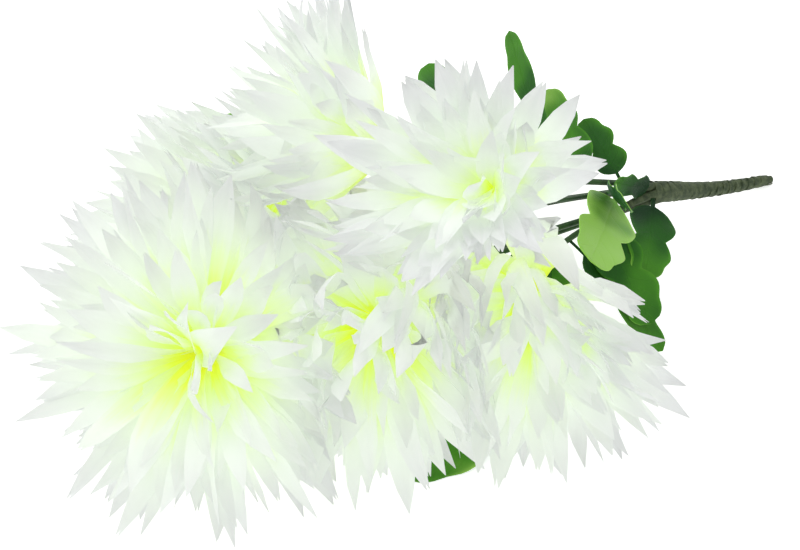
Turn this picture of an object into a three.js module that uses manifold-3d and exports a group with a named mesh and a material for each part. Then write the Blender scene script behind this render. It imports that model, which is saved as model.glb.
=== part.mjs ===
// A spray of spider chrysanthemums, lying down: six full heads of long keeled petals, each on its own
// leafy stem, and a taped grip that holds the six stems together.
// Millimetres, +Z up. The spray rests on the plane z = 0, the origin is on that plane under the middle
// of the spray, and +X runs from the heads towards the grip's cut end.
import * as THREE from "three";
import { mergeVertices } from "three/addons/utils/BufferGeometryUtils.js";
import Module from "manifold-3d";

const wasm = await Module();
wasm.setup();

// ---- Driving dimensions ----

const gap = 0.3; // air between pieces that touch on the real spray

// Petals
const petalReach = 96; // from a head's centre to its longest petal tips
const petalHalfWidth = 7.2; // at the widest place
const petalThickness = 1.1; // at the keel
const innermostAngle = 20; // degrees between a head's axis and its innermost petals
const petalRootRadius = 9; // where a petal starts, inside the core
const petalClearance = 2; // between a petal's middle line and the plane that parts two heads
const petalRest = 2.2; // how far the lowest tips are pressed flat by the surface
const turningRoom = 18; // distance over which a petal turns aside from what it would press against
const coreRadius = 12;

// Stems
const stemRadius = 1.6;
const cupRadius = 7.5; // of the green cup under a head
const cupTop = coreRadius - 3; // how far behind a head's centre the cup's rim is
const cupLength = 12;
const stemSides = 6;
const stemSteps = 12;

// Grip
const gripEnd = new THREE.Vector3(196, 109, 2.4); // middle of the cut end
const gripTop = new THREE.Vector3(130, 74, 42); // middle of the face that the stems leave from
const gripBow = 2.5; // how far the grip's middle bows down from a straight line
const gripRadii = [2.6, 3.0, 3.3, 3.6, 3.9, 4.4, 5.0, 5.5]; // from the cut end to the top
const stemRing = 3.6; // radius of the ring on which the stems leave the grip

// Leaves
const leafThickness = 1.0;
const leafPetiole = 1.1; // half-width of a leaf's own stalk
const leafArch = 0.14; // how far a leaf bends from a straight line, next to its length
const leafFold = 0.16; // how far a leaf's rib sinks below its rims, next to its half-width

// Each head: its centre, its size next to the largest, the way it faces, the angle from its axis that its
// outermost petals open to, how many petals it has, how far its stem bows aside, and the seed of its
// petals' small differences. Heads and leaves beside a head hold it in, so that it opens less on those
// sides: each of its "held" points to such a side, and its length is the share that it opens less by.
const heads = [
  {
    name: "left", centre: [-102, -41, 77], size: 1, faces: [-0.35, -0.69, 0.64], opens: 104, petals: 58,
    bow: [0, -8, -24], seed: 11,
  },
  {
    name: "far_left", centre: [-85, 26, 66], size: 0.94, faces: [-0.58, -0.04, 0.81], opens: 118, petals: 44,
    bow: [0, 26, 0], seed: 23, pressed: { from: [0.42, 0.77, 0.48], room: 46 },
  },
  {
    name: "back", centre: [-13, 42, 121], size: 1, faces: [-0.83, 0.23, 0.5], opens: 60, petals: 46,
    bow: [0, 14, 6], seed: 37, held: [[0.2, 0.22, 0.14]],
  },
  {
    name: "top", centre: [38, -14, 168], size: 0.93, faces: [-0.3, -0.46, 0.83], opens: 58, petals: 43,
    bow: [0, 0, 0], seed: 41, held: [[0.25, -0.41, -0.26], [0.03, 0.25, 0.16]],
  },
  {
    name: "front", centre: [-18, -30, 85], size: 0.95, faces: [-0.22, -0.89, 0.4], opens: 108, petals: 48,
    bow: [0, -6, -12], seed: 59,
  },
  {
    name: "right", centre: [57, -13, 77], size: 0.96, faces: [0.03, -0.9, 0.43], opens: 96, petals: 48,
    bow: [4, -2, -3], seed: 67, held: [[0.5, 0.27, 0.17]],
  },
];

// Where two heads press together, one laps over the other, on the side that faces up and forwards.
const lapSide = new THREE.Vector3(0, -0.53, 0.85);
const laps = [
  { over: "left", under: "far_left", lean: 0.7 },
  { over: "left", under: "front", lean: 0.3 },
  { over: "back", under: "far_left", lean: 1 },
  { over: "top", under: "back", lean: 0.1 },
  { over: "top", under: "front", lean: 0.3 },
  { over: "right", under: "front", lean: 0.3 },
];

// Each leaf: the stem it grows from, how far along that stem, its tip, the way its face looks, its
// half-width and, where it doesn't go straight to its tip, a point that its rib bends towards.
const leaves = [
  { stem: "top", along: 0.24, tip: [80, -14, 114], looks: [0.1, -0.6, 0.8], half: 17 },
  { stem: "right", along: 0.1, tip: [121, 18, 46], looks: [0.3, -0.5, 0.8], half: 16 },
  { stem: "right", along: 0.44, tip: [122, -5, 38], looks: [0.2, -0.4, 0.9], half: 15 },
  { stem: "right", along: 0.6, tip: [128, -12, 22], looks: [0.3, -0.3, 0.9], half: 10 },
  { stem: "right", along: 0.84, tip: [-8, -71, 1.4], via: [48, -58, -7], looks: [0, -0.1, 1], half: 15 },
  { stem: "top", along: 0.05, tip: [101, 56, 76], looks: [0.2, -0.8, 0.6], half: 7 },
  { stem: "top", along: 0.3, tip: [102, 20, 112], looks: [0.4, -0.4, 0.8], half: 9 },
  { stem: "back", along: 0.18, tip: [88, 104, 66], looks: [0.2, -0.4, 0.9], half: 10 },
  { stem: "back", along: 0.32, tip: [70, 128, 60], looks: [-0.1, -0.4, 0.9], half: 10 },
  { stem: "back", along: 0.46, tip: [50, 160, 70], looks: [-0.2, -0.4, 0.9], half: 7 },
  { stem: "back", along: 0.8, tip: [6, 124, 88], looks: [-0.1, -0.3, 0.95], half: 12 },
  { stem: "far_left", along: 0.45, tip: [36, 112, 28], looks: [0.1, 0.2, 0.95], half: 14 },
  { stem: "far_left", along: 0.9, tip: [-102, 116, 54], looks: [-0.3, 0.1, 0.95], half: 14 },
  { stem: "left", along: 0.3, tip: [76, 12, 16], looks: [0.1, -0.2, 0.95], half: 13 },
  { stem: "left", along: 0.62, tip: [-38, 42, 28], looks: [-0.2, 0.3, 0.9], half: 13 },
  { stem: "front", along: 0.4, tip: [40, -14, 24], looks: [0.1, -0.3, 0.95], half: 13 },
];

// ---- Solids ----

function solidOf(geometry) {
  const bare = geometry.clone();
  bare.deleteAttribute("normal");
  bare.deleteAttribute("uv");
  const merged = mergeVertices(bare, 1e-4);
  const vertProperties = merged.attributes.position.array;
  const triVerts = new Uint32Array(merged.index.array);
  return new wasm.Manifold(new wasm.Mesh({ numProp: 3, vertProperties, triVerts }));
}

function geometryOf(solid) {
  const { numProp, vertProperties, triVerts } = solid.getMesh();
  const positions = new Float32Array((vertProperties.length / numProp) * 3);
  for (let i = 0; i < positions.length / 3; i++) {
    positions.set(vertProperties.subarray(i * numProp, i * numProp + 3), i * 3);
  }
  return new THREE.BufferGeometry()
    .setAttribute("position", new THREE.BufferAttribute(positions, 3))
    .setIndex(new THREE.BufferAttribute(triVerts, 1));
}

function largestBody(solid) {
  return solid.decompose().reduce((best, body) => (body.volume() > best.volume() ? body : best));
}

// ---- Blades: petals and leaves ----

// A closed blade through stations of { at, across, face, half, sink }. Its rims are sharp, its middle is
// `thickness` thick and sinks below the rims, and it ends in a point at the last station.
function blade(stations, thickness) {
  const points = [];
  for (const { at, across, face, half, sink } of stations.slice(0, -1)) {
    const middle = at.clone().addScaledVector(face, -sink);
    points.push(
      at.clone().addScaledVector(across, -half),
      middle.clone().addScaledVector(face, thickness / 2),
      at.clone().addScaledVector(across, half),
      middle.clone().addScaledVector(face, -thickness / 2),
    );
  }
  points.push(stations.at(-1).at);
  const rings = stations.length - 1;
  const tip = points.length - 1;
  const faces = [0, 3, 1, 3, 2, 1]; // the root's end, cut along the keel
  for (let k = 0; k < rings - 1; k++) {
    const [l, t, r, b] = [0, 1, 2, 3].map((corner) => 4 * k + corner);
    const [l2, t2, r2, b2] = [l, t, r, b].map((corner) => corner + 4);
    faces.push(l, t, t2, l, t2, l2, t, r, t2, r, r2, t2); // upper side
    faces.push(r, b, b2, r, b2, r2, b, l, b2, l, l2, b2); // lower side, split alike
  }
  const last = 4 * (rings - 1);
  faces.push(last, last + 1, tip, last + 1, last + 2, tip);
  faces.push(last + 2, last + 3, tip, last + 3, last, tip);
  return new THREE.BufferGeometry()
    .setFromPoints(points)
    .setIndex(faces);
}

function seededRandom(seed) {
  let state = seed;
  return () => {
    state = (state * 1664525 + 1013904223) % 4294967296;
    return state / 4294967296;
  };
}

// ---- Stems ----

const gripWay = gripTop.clone().sub(gripEnd).normalize();

function headFrame(head) {
  const centre = new THREE.Vector3(...head.centre);
  const axis = new THREE.Vector3(...head.faces).normalize();
  const side = new THREE.Vector3(0, 0, 1).cross(axis).normalize();
  const held = (head.held ?? []).map((way) => new THREE.Vector3(...way));
  return { centre, axis, side, held, up: axis.clone().cross(side) };
}

// The stems leave the grip on a ring, in the order of the ways that they go, so that none crosses another.
function stemStarts() {
  const right = new THREE.Vector3(0, 0, 1).cross(gripWay).normalize();
  const up = gripWay.clone().cross(right);
  const bearing = (head) => {
    const way = new THREE.Vector3(...head.centre).sub(gripTop);
    return Math.atan2(way.dot(up), way.dot(right));
  };
  const order = [...heads].sort((a, b) => bearing(a) - bearing(b));
  const first = bearing(order[0]);
  return new Map(
    order.map((head, i) => {
      const angle = first + (2 * Math.PI * i) / order.length;
      const start = gripTop
        .clone()
        .addScaledVector(gripWay, 2 * gap)
        .addScaledVector(right, stemRing * Math.cos(angle))
        .addScaledVector(up, stemRing * Math.sin(angle));
      return [head.name, start];
    }),
  );
}

const starts = stemStarts();

function stemCurve(head) {
  const { centre, axis } = headFrame(head);
  const start = starts.get(head.name);
  const end = centre.clone().addScaledVector(axis, -(cupTop + cupLength / 2));
  const reach = 0.3 * start.distanceTo(end);
  const bow = new THREE.Vector3(...head.bow);
  return new THREE.CubicBezierCurve3(
    start,
    start.clone().addScaledVector(gripWay, reach).addScaledVector(bow, 0.5),
    end.clone().addScaledVector(axis, -reach).add(bow),
    end,
  );
}

function tube(curve, radius, sides, steps) {
  const section = new THREE.Shape();
  for (let i = 0; i < sides; i++) {
    const angle = (2 * Math.PI * i) / sides;
    const [x, y] = [radius * Math.cos(angle), radius * Math.sin(angle)];
    i ? section.lineTo(x, y) : section.moveTo(x, y);
  }
  section.closePath();
  return new THREE.ExtrudeGeometry(section, { steps, bevelEnabled: false, extrudePath: curve });
}

// The green cup under a head, which a head's core sits on.
function cup(head, grow) {
  const { centre, axis } = headFrame(head);
  const foot = -(cupTop + cupLength) - grow;
  const rim = -cupTop + grow;
  const profile = [
    [0, foot],
    [stemRadius + 0.6 + grow, foot],
    [cupRadius * 0.8 + grow, foot + cupLength / 2],
    [cupRadius + grow, rim],
    [0, rim],
  ].map(([x, y]) => new THREE.Vector2(x, y));
  const geometry = new THREE.LatheGeometry(profile, 8);
  const turn = new THREE.Quaternion().setFromUnitVectors(new THREE.Vector3(0, 1, 0), axis);
  return geometry.applyQuaternion(turn).translate(centre.x, centre.y, centre.z);
}

// A leaf with two pairs of round lobes and a round tip, arched along its length and folded at its rib.
function leafStations(leaf, grow) {
  const head = heads.find(({ name }) => name === leaf.stem);
  const root = stemCurve(head).getPoint(leaf.along);
  const tip = new THREE.Vector3(...leaf.tip);
  const looks = new THREE.Vector3(...leaf.looks).normalize();
  const arch = leafArch * root.distanceTo(tip);
  const arched = root.clone().add(tip).multiplyScalar(0.5).addScaledVector(looks, arch);
  const middle = leaf.via ? new THREE.Vector3(...leaf.via) : arched;
  const rib = new THREE.QuadraticBezierCurve3(root, middle, tip);
  const outline = [
    [0, 0], [0.17, 0], [0.21, 0.6], [0.29, 0.93], [0.38, 1], [0.46, 0.85], [0.52, 0.54], [0.59, 0.86],
    [0.68, 0.95], [0.8, 0.53], [0.92, 0.57], [1, 0],
  ];
  return outline.map(([s, wide]) => {
    const along = rib.getTangent(s);
    const across = along.clone().cross(looks).normalize();
    const face = across.clone().cross(along).normalize();
    const rimGrow = 3 * grow; // sideways, because the rims are sharp
    const half = Math.max(leafPetiole, wide * leaf.half) + rimGrow;
    const at = rib.getPoint(s).addScaledVector(face, leafFold * rimGrow);
    if (s === 1) at.addScaledVector(along, rimGrow);
    return { at, across, face, half, sink: leafFold * half };
  });
}

function leafyStem(head, grow = 0) {
  const curve = stemCurve(head);
  const stalk = solidOf(tube(curve, stemRadius + grow, stemSides, stemSteps));
  const own = leaves.filter(({ stem }) => stem === head.name);
  const blades = own.map((leaf) => solidOf(blade(leafStations(leaf, grow), leafThickness + 2 * grow)));
  const solid = wasm.Manifold.union([stalk, solidOf(cup(head, grow)), ...blades]);
  return largestBody(solid.trimByPlane([0, 0, 1], 0)); // one leaf lies flat on the surface
}

// ---- Heads ----

// The plane between a head and another, with its normal pointing to the other.
function parting(head, other) {
  const own = new THREE.Vector3(...head.centre);
  const theirs = new THREE.Vector3(...other.centre);
  const normal = theirs.clone().sub(own).normalize();
  for (const { over, under, lean } of laps) {
    if (over === other.name && under === head.name) normal.addScaledVector(lapSide, lean);
    if (over === head.name && under === other.name) normal.addScaledVector(lapSide, -lean);
  }
  normal.normalize();
  const between = own.add(theirs).multiplyScalar(0.5);
  return { normal, reach: between.dot(normal) - gap / 2, room: petalClearance, forwards: 0.8 };
}

// The planes that a head's petals keep behind: one towards each other head, the surface that the spray
// lies on, which the lowest petals touch, and the leaves that press against it.
function limits(head) {
  const planes = heads.filter((other) => other !== head).map((other) => parting(head, other));
  planes.push({ normal: new THREE.Vector3(0, 0, -1), reach: 0, room: -petalRest, forwards: 0.25 });
  if (head.pressed) {
    const normal = new THREE.Vector3(...head.pressed.from).normalize();
    const reach = normal.dot(new THREE.Vector3(...head.centre)) + head.pressed.room;
    planes.push({ normal, reach, room: petalClearance, forwards: 0.5 });
  }
  return planes;
}

// Turns a petal's way aside as it comes close to a plane, and a little towards the way its head faces.
function turnedAside(way, at, axis, planes) {
  for (const { normal, reach, room, forwards } of planes) {
    const free = THREE.MathUtils.clamp((reach - room - at.dot(normal)) / turningRoom, 0, 1);
    const barred = Math.max(way.dot(normal), 0) * (1 - free);
    const sideways = axis.clone().addScaledVector(normal, -axis.dot(normal));
    way.addScaledVector(normal, -barred).addScaledVector(sideways, forwards * barred);
  }
  return way.normalize();
}

// Moves a point back behind every plane, and out of the way of the other heads' stems.
function keepClear(point, planes, stems, room) {
  for (const plane of planes) {
    const over = point.dot(plane.normal) - plane.reach + Math.min(plane.room, room);
    if (over > 0) point.addScaledVector(plane.normal, -over);
  }
  for (const post of stems) {
    const away = point.clone().sub(post);
    const short = stemRadius + room + 3 - away.length();
    if (short > 0) point.addScaledVector(away.normalize(), short);
  }
  return point;
}

// Turns a petal's face towards the nearest plane as the petal comes close to it, so that it lies flat there.
function pressFlat(station, along, planes) {
  for (const { normal, reach } of planes) {
    const room = reach - station.at.dot(normal);
    const lean = THREE.MathUtils.clamp(1 - room / station.half, 0, 1);
    if (lean > 0) {
      const toward = normal.clone().multiplyScalar(station.face.dot(normal) < 0 ? -1 : 1);
      station.face.lerp(toward, lean);
    }
  }
  station.across = along.clone().cross(station.face).normalize();
  station.face = station.across.clone().cross(along).normalize();
  return station;
}

function petalStations(frame, petal, planes, stems) {
  const steps = 12;
  const widths = new Map([[0, 0.26], [5, 0.82], [9, 0.94], [12, 0]]); // share of the full width, by step
  const outwards = frame.side
    .clone()
    .multiplyScalar(Math.cos(petal.bearing))
    .addScaledVector(frame.up, Math.sin(petal.bearing));
  let opening = petal.angle;
  for (const side of frame.held) opening *= 1 - Math.max(0, outwards.dot(side));
  const wayAt = (s) => {
    const angle = opening + petal.bend * (s - 0.45);
    return frame.axis.clone().multiplyScalar(Math.cos(angle)).addScaledVector(outwards, Math.sin(angle));
  };
  const at = frame.centre.clone().addScaledVector(wayAt(0), petalRootRadius);
  const stations = [];
  let along = wayAt(0);
  for (let k = 0; k <= steps; k++) {
    const s = k / steps;
    if (widths.has(k)) {
      const angle = opening + petal.bend * (s - 0.45);
      const face = frame.axis
        .clone()
        .multiplyScalar(Math.sin(angle))
        .addScaledVector(outwards, -Math.cos(angle))
        .applyAxisAngle(along, petal.twist * s);
      const half = widths.get(k) * petal.half;
      const station = { at: at.clone(), face, half, sink: half * 0.2 };
      stations.push(pressFlat(station, along, planes));
    }
    const way = turnedAside(wayAt(s), at, frame.axis, planes);
    const next = at.clone().addScaledVector(way, petal.length / steps);
    keepClear(next, planes, k > 2 ? stems : [], 0.5 * k);
    along = next.clone().sub(at).normalize();
    at.addScaledVector(along, petal.length / steps);
  }
  return stations;
}

function petalsOf(head) {
  const random = seededRandom(head.seed);
  const spread = (amount) => (random() * 2 - 1) * amount;
  const nearest = Math.cos(THREE.MathUtils.degToRad(innermostAngle));
  const furthest = Math.cos(THREE.MathUtils.degToRad(head.opens));
  const golden = Math.PI * (3 - Math.sqrt(5));
  return Array.from({ length: head.petals }, (_, i) => {
    const angle = Math.acos(nearest + ((furthest - nearest) * (i + 0.5)) / head.petals);
    const openness = THREE.MathUtils.smoothstep(angle, 0, 1.1);
    return {
      angle: angle + spread(0.05),
      bearing: i * golden + spread(0.1),
      bend: 0.5 - 0.25 * openness + spread(0.25),
      twist: spread(0.5),
      length: (petalReach * head.size * (0.9 + 0.1 * openness) - petalRootRadius) * (0.97 + spread(0.06)),
      half: petalHalfWidth * (0.9 + spread(0.12)),
    };
  });
}

function bloom(head) {
  const frame = headFrame(head);
  const planes = limits(head);
  const others = heads.filter((other) => other !== head);
  const stems = others.flatMap((other) => stemCurve(other).getPoints(24));
  const core = new THREE.IcosahedronGeometry(coreRadius, 1).translate(...frame.centre.toArray());
  const petals = petalsOf(head).map((petal) =>
    solidOf(blade(petalStations(frame, petal, planes, stems), petalThickness)),
  );
  let solid = wasm.Manifold.union([solidOf(core), ...petals]);
  for (const { normal, reach } of planes) {
    solid = solid.trimByPlane(normal.clone().negate().toArray(), -reach);
  }
  for (const other of heads) solid = solid.subtract(leafyStem(other, gap));
  return largestBody(solid);
}

// ---- Grip ----

// The taped grip: turned on its own axis, then bowed between its two ends.
function grip() {
  const length = gripTop.distanceTo(gripEnd);
  const last = gripRadii.length - 1;
  const profile = [
    new THREE.Vector2(0, 0),
    ...gripRadii.map((radius, i) => new THREE.Vector2(radius, (length * i) / last)),
    new THREE.Vector2(0, length),
  ];
  const geometry = new THREE.LatheGeometry(profile, 14);
  const position = geometry.attributes.position;
  for (let i = 0; i < position.count; i++) {
    const s = position.getY(i) / length;
    position.setZ(i, position.getZ(i) + gripBow * Math.sin(Math.PI * s));
  }
  const side = new THREE.Vector3(0, 0, 1).cross(gripWay).normalize();
  const down = side.clone().cross(gripWay).normalize();
  const turn = new THREE.Matrix4().makeBasis(side, gripWay, down);
  return solidOf(geometry.applyMatrix4(turn.setPosition(gripEnd)));
}

// ---- The spray ----

const tape = new THREE.MeshStandardMaterial({ color: 0x3f4a36, roughness: 0.8, metalness: 0 });
const foliage = new THREE.MeshStandardMaterial({ color: 0x4d8f35, roughness: 0.45, metalness: 0 });
const petalCloth = new THREE.MeshStandardMaterial({ color: 0xf2fbe6, roughness: 0.7, metalness: 0 });

const spray = new THREE.Group();

function addPiece(name, solid, material) {
  const mesh = new THREE.Mesh(geometryOf(solid), material);
  mesh.name = name;
  spray.add(mesh);
}

addPiece("grip", grip(), tape);
for (const head of heads) addPiece(`stem_${head.name}`, leafyStem(head), foliage);
for (const head of heads) addPiece(`bloom_${head.name}`, bloom(head), petalCloth);

spray.position.set(0, -13, 0); // brings the origin under the middle of the spray

export default spray;
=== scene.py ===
import math

import bmesh
import bpy
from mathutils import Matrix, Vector
import numpy as np


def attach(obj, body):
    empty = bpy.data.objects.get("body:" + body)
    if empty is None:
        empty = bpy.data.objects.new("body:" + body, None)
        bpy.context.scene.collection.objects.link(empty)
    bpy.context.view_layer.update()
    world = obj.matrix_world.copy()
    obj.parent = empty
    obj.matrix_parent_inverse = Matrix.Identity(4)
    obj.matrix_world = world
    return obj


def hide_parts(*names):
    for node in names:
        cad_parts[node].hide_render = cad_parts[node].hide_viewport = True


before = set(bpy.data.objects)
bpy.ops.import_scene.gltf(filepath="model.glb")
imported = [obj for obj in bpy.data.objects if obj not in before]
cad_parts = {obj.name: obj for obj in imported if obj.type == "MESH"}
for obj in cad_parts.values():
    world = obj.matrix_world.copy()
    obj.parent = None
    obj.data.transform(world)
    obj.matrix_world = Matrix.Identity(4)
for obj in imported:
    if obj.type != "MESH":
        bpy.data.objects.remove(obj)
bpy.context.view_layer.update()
bpy.ops.object.select_all(action="DESELECT")
print("frame loaded:", len(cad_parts), "nodes")

mm = 0.001

# where everything lies, in millimetres, by the same rules as the solids
bunch = {
    "shift": (0, -13, 0),  # brings the origin under the middle
    "gripEnd": (196, 109, 2.4),
    "gripTop": (130, 74, 42),
    "gripBow": 2.5,
    "gripRadii": (2.6, 3.0, 3.3, 3.6, 3.9, 4.4, 5.0, 5.5),
    "stemRing": 3.6,  # radius of the ring that the stems start on
    "stemRadius": 1.6,
    "stemLift": 0.6,  # air between the grip's face and the stems
    "stemReach": 0.3,  # length of a stem's curve handles, next to the distance between its ends
    "cupTop": 9,  # how far behind a head's centre its cup ends
    "cupLength": 12,
    "lapSide": (0, -0.53, 0.85),  # the side on which the upper one of two heads lies
}

# "opens" is in degrees from a head's axis, "bow" is how far its stem bows aside, "pressed" is a side
# that leaves hold in, and "held" are sides on which it opens less
heads = {
    "left": {
        "centre": (-102, -41, 77), "size": 1, "faces": (-0.35, -0.69, 0.64), "opens": 104,
        "bow": (0, -8, -24), "seed": 11,
    },
    "far_left": {
        "centre": (-85, 26, 66), "size": 0.94, "faces": (-0.58, -0.04, 0.81), "opens": 118,
        "bow": (0, 26, 0), "seed": 23, "pressed": {"from": (0.42, 0.77, 0.48), "room": 46},
    },
    "back": {
        "centre": (-13, 42, 121), "size": 1, "faces": (-0.83, 0.23, 0.5), "opens": 60,
        "bow": (0, 14, 6), "seed": 37, "held": ((0.2, 0.22, 0.14),),
    },
    "top": {
        "centre": (38, -14, 168), "size": 0.93, "faces": (-0.3, -0.46, 0.83), "opens": 58,
        "bow": (0, 0, 0), "seed": 41, "held": ((0.25, -0.41, -0.26), (0.03, 0.25, 0.16)),
    },
    "front": {
        "centre": (-18, -30, 85), "size": 0.95, "faces": (-0.22, -0.89, 0.4), "opens": 108,
        "bow": (0, -6, -12), "seed": 59,
    },
    "right": {
        "centre": (57, -13, 77), "size": 0.96, "faces": (0.03, -0.9, 0.43), "opens": 96,
        "bow": (4, -2, -3), "seed": 67, "held": ((0.5, 0.27, 0.17),),
    },
}

# which head lies over which where two press together, and how much the plane between them leans
laps = (
    ("left", "far_left", 0.7), ("left", "front", 0.3), ("back", "far_left", 1),
    ("top", "back", 0.1), ("top", "front", 0.3), ("top", "right", 0), ("right", "front", 0.3),
)


def metres(point):
    return (np.array(point, float) + bunch["shift"]) * mm


def unit(vector):
    vector = np.asarray(vector, float)
    return vector / np.linalg.norm(vector, axis=-1, keepdims=True)


def headPlace(name):
    axis = unit(heads[name]["faces"])
    side = unit(np.cross((0, 0, 1), axis))
    return metres(heads[name]["centre"]), axis, side, np.cross(axis, side)


gripEnd, gripTop = metres(bunch["gripEnd"]), metres(bunch["gripTop"])
gripWay = unit(gripTop - gripEnd)


def stemStarts():
    right = unit(np.cross((0, 0, 1), gripWay))
    up = np.cross(gripWay, right)

    def bearing(name):
        way = headPlace(name)[0] - gripTop
        return math.atan2(way @ up, way @ right)

    order = sorted(heads, key=bearing)
    starts = {}
    for i, name in enumerate(order):
        angle = bearing(order[0]) + 2 * math.pi * i / len(order)
        aside = right * math.cos(angle) + up * math.sin(angle)
        starts[name] = gripTop + gripWay * bunch["stemLift"] * mm + aside * bunch["stemRing"] * mm
    return starts


starts = stemStarts()


def stemHandles(name):
    centre, axis, _, _ = headPlace(name)
    start = starts[name]
    end = centre - axis * (bunch["cupTop"] + bunch["cupLength"] / 2) * mm
    reach = bunch["stemReach"] * np.linalg.norm(end - start)
    bow = np.array(heads[name]["bow"]) * mm
    return start, start + gripWay * reach + bow / 2, end - axis * reach + bow, end


def stemPoint(name, s):
    a, b, c, d = stemHandles(name)
    t = 1 - s
    return a * t**3 + b * 3 * t * t * s + c * 3 * t * s * s + d * s**3


# modelling helpers

near = 0.01  # how close to a row or a column a vertex counts as part of it, on a grid 2 by 2


def grid(columns, rows, size=2):
    bpy.ops.mesh.primitive_grid_add(x_subdivisions=columns, y_subdivisions=rows, size=size,
                                    calc_uvs=True)
    return bpy.context.object


def selectVertices(piece, chosen):
    mesh = bmesh.from_edit_mesh(piece.data)
    bpy.ops.mesh.select_all(action="DESELECT")
    for vertex in mesh.verts:
        vertex.select = chosen(vertex.co)
    mesh.select_flush(True)
    bmesh.update_edit_mesh(piece.data)


def sinkColumns(piece, depth, columns):
    for place, share in columns:
        selectVertices(piece, lambda co: abs(abs(co.x) - place) < near)
        bpy.ops.transform.translate(value=(0, 0, -depth * share))


def taperRow(piece, row, rows, wide):
    height = 2 * row / rows - 1
    selectVertices(piece, lambda co: abs(co.y - height) < near)
    bpy.ops.transform.resize(value=(wide, 1, wide), center_override=(0, 0, 0))


def toSize(piece, half, length):
    # from a grid 2 by 2 to the real size, with the root at the origin
    bpy.ops.mesh.select_all(action="SELECT")
    bpy.ops.transform.translate(value=(0, 1, 0))
    bpy.ops.transform.resize(value=(half, length / 2, half), center_override=(0, 0, 0))
    bpy.ops.object.mode_set(mode="OBJECT")


def applied(piece, kind, **settings):
    bpy.context.view_layer.objects.active = piece
    modifier = piece.modifiers.new(kind.lower(), kind)
    for key, value in settings.items():
        setattr(modifier, key, value)
    bpy.ops.object.modifier_apply(modifier=modifier.name)


def smoothed(piece, angle):
    bpy.ops.object.select_all(action="DESELECT")
    piece.select_set(True)
    bpy.context.view_layer.objects.active = piece
    bpy.ops.object.shade_smooth_by_angle(angle=math.radians(angle))
    piece.select_set(False)


def coordinatesOf(piece):
    places = np.empty(len(piece.data.vertices) * 3, np.float32)
    piece.data.vertices.foreach_get("co", places)
    return places.reshape(-1, 3).astype(float)


def moveTo(piece, places):
    piece.data.vertices.foreach_set("co", np.asarray(places, np.float32).ravel())


def marked(piece, name, value):
    own = piece.data.attributes.new(name, "FLOAT", "POINT")
    own.data.foreach_set("value", np.full(len(piece.data.vertices), value, np.float32))


def laidCopy(blank, places, toneAndShade):
    piece = blank.copy()
    piece.data = blank.data.copy()
    moveTo(piece, places)
    marked(piece, "toneAndShade", toneAndShade)
    bpy.context.collection.objects.link(piece)
    return piece


def joined(name, pieces):
    bpy.ops.object.select_all(action="DESELECT")
    for piece in pieces:
        piece.select_set(True)
    bpy.context.view_layer.objects.active = pieces[0]
    if len(pieces) > 1:
        bpy.ops.object.join()
    piece = bpy.context.view_layer.objects.active
    bpy.ops.object.transform_apply(location=True, rotation=True, scale=True)
    piece.select_set(False)
    piece.name = piece.data.name = name
    return piece


def finished(piece, material, slot, *nodes):
    piece.data.materials.clear()
    piece.data.materials.append(material)
    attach(piece, "root")
    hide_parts(*nodes)


# node helpers

def node(tree, kind, inputs=None, **settings):
    made = tree.nodes.new(kind)
    for key, value in settings.items():
        setattr(made, key, value)
    for key, value in (inputs or {}).items():
        if isinstance(value, bpy.types.NodeSocket):
            tree.links.new(value, made.inputs[key])
        else:
            made.inputs[key].default_value = value
    return made


def sums(tree, operation, *values):
    return node(tree, "ShaderNodeMath", dict(enumerate(values)), operation=operation).outputs[0]


def attribute(tree, name):
    return node(tree, "ShaderNodeAttribute", attribute_name=name).outputs["Fac"]


def ramp(tree, factor, stops):
    made = node(tree, "ShaderNodeValToRGB", {"Fac": factor})
    made.color_ramp.interpolation = "EASE"
    elements = made.color_ramp.elements
    while len(elements) < len(stops):
        elements.new(0.5)
    for element, (place, colour) in zip(elements, stops):
        element.position = place
        element.color = (*colour, 1)
    return made.outputs["Color"]


def blended(tree, share, colour, other):
    made = node(tree, "ShaderNodeMix", {0: share, 6: colour, 7: (*other, 1)}, data_type="RGBA")
    return made.outputs[2]


def letThrough(tree, share, surface, **passing):
    # finishes a thin piece that lets this share of the light pass
    passed = node(tree, "ShaderNodeBsdfTranslucent", passing)
    mixed = node(tree, "ShaderNodeMixShader", {0: share, 1: surface.outputs[0], 2: passed.outputs[0]})
    node(tree, "ShaderNodeOutputMaterial", {"Surface": mixed.outputs[0]})


def newMaterial(name):
    material = bpy.data.materials.new(name)
    material.use_nodes = True
    material.node_tree.nodes.clear()
    return material, material.node_tree


def newGroup(name, inputs, outputs):
    group = bpy.data.node_groups.new(name, "ShaderNodeTree")
    for socketName, kind, value in inputs:
        made = group.interface.new_socket(socketName, in_out="INPUT", socket_type=kind)
        if value is not None:
            made.default_value = value
    for socketName, kind in outputs:
        group.interface.new_socket(socketName, in_out="OUTPUT", socket_type=kind)
    return group, group.nodes.new("NodeGroupInput"), group.nodes.new("NodeGroupOutput")


def grouped(tree, group, **inputs):
    made = node(tree, "ShaderNodeGroup")
    made.node_tree = group
    for key, value in inputs.items():
        socket = made.inputs[key.replace("_", " ")]
        if isinstance(value, bpy.types.NodeSocket):
            tree.links.new(value, socket)
        else:
            socket.default_value = value
    return made.outputs[0]


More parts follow.
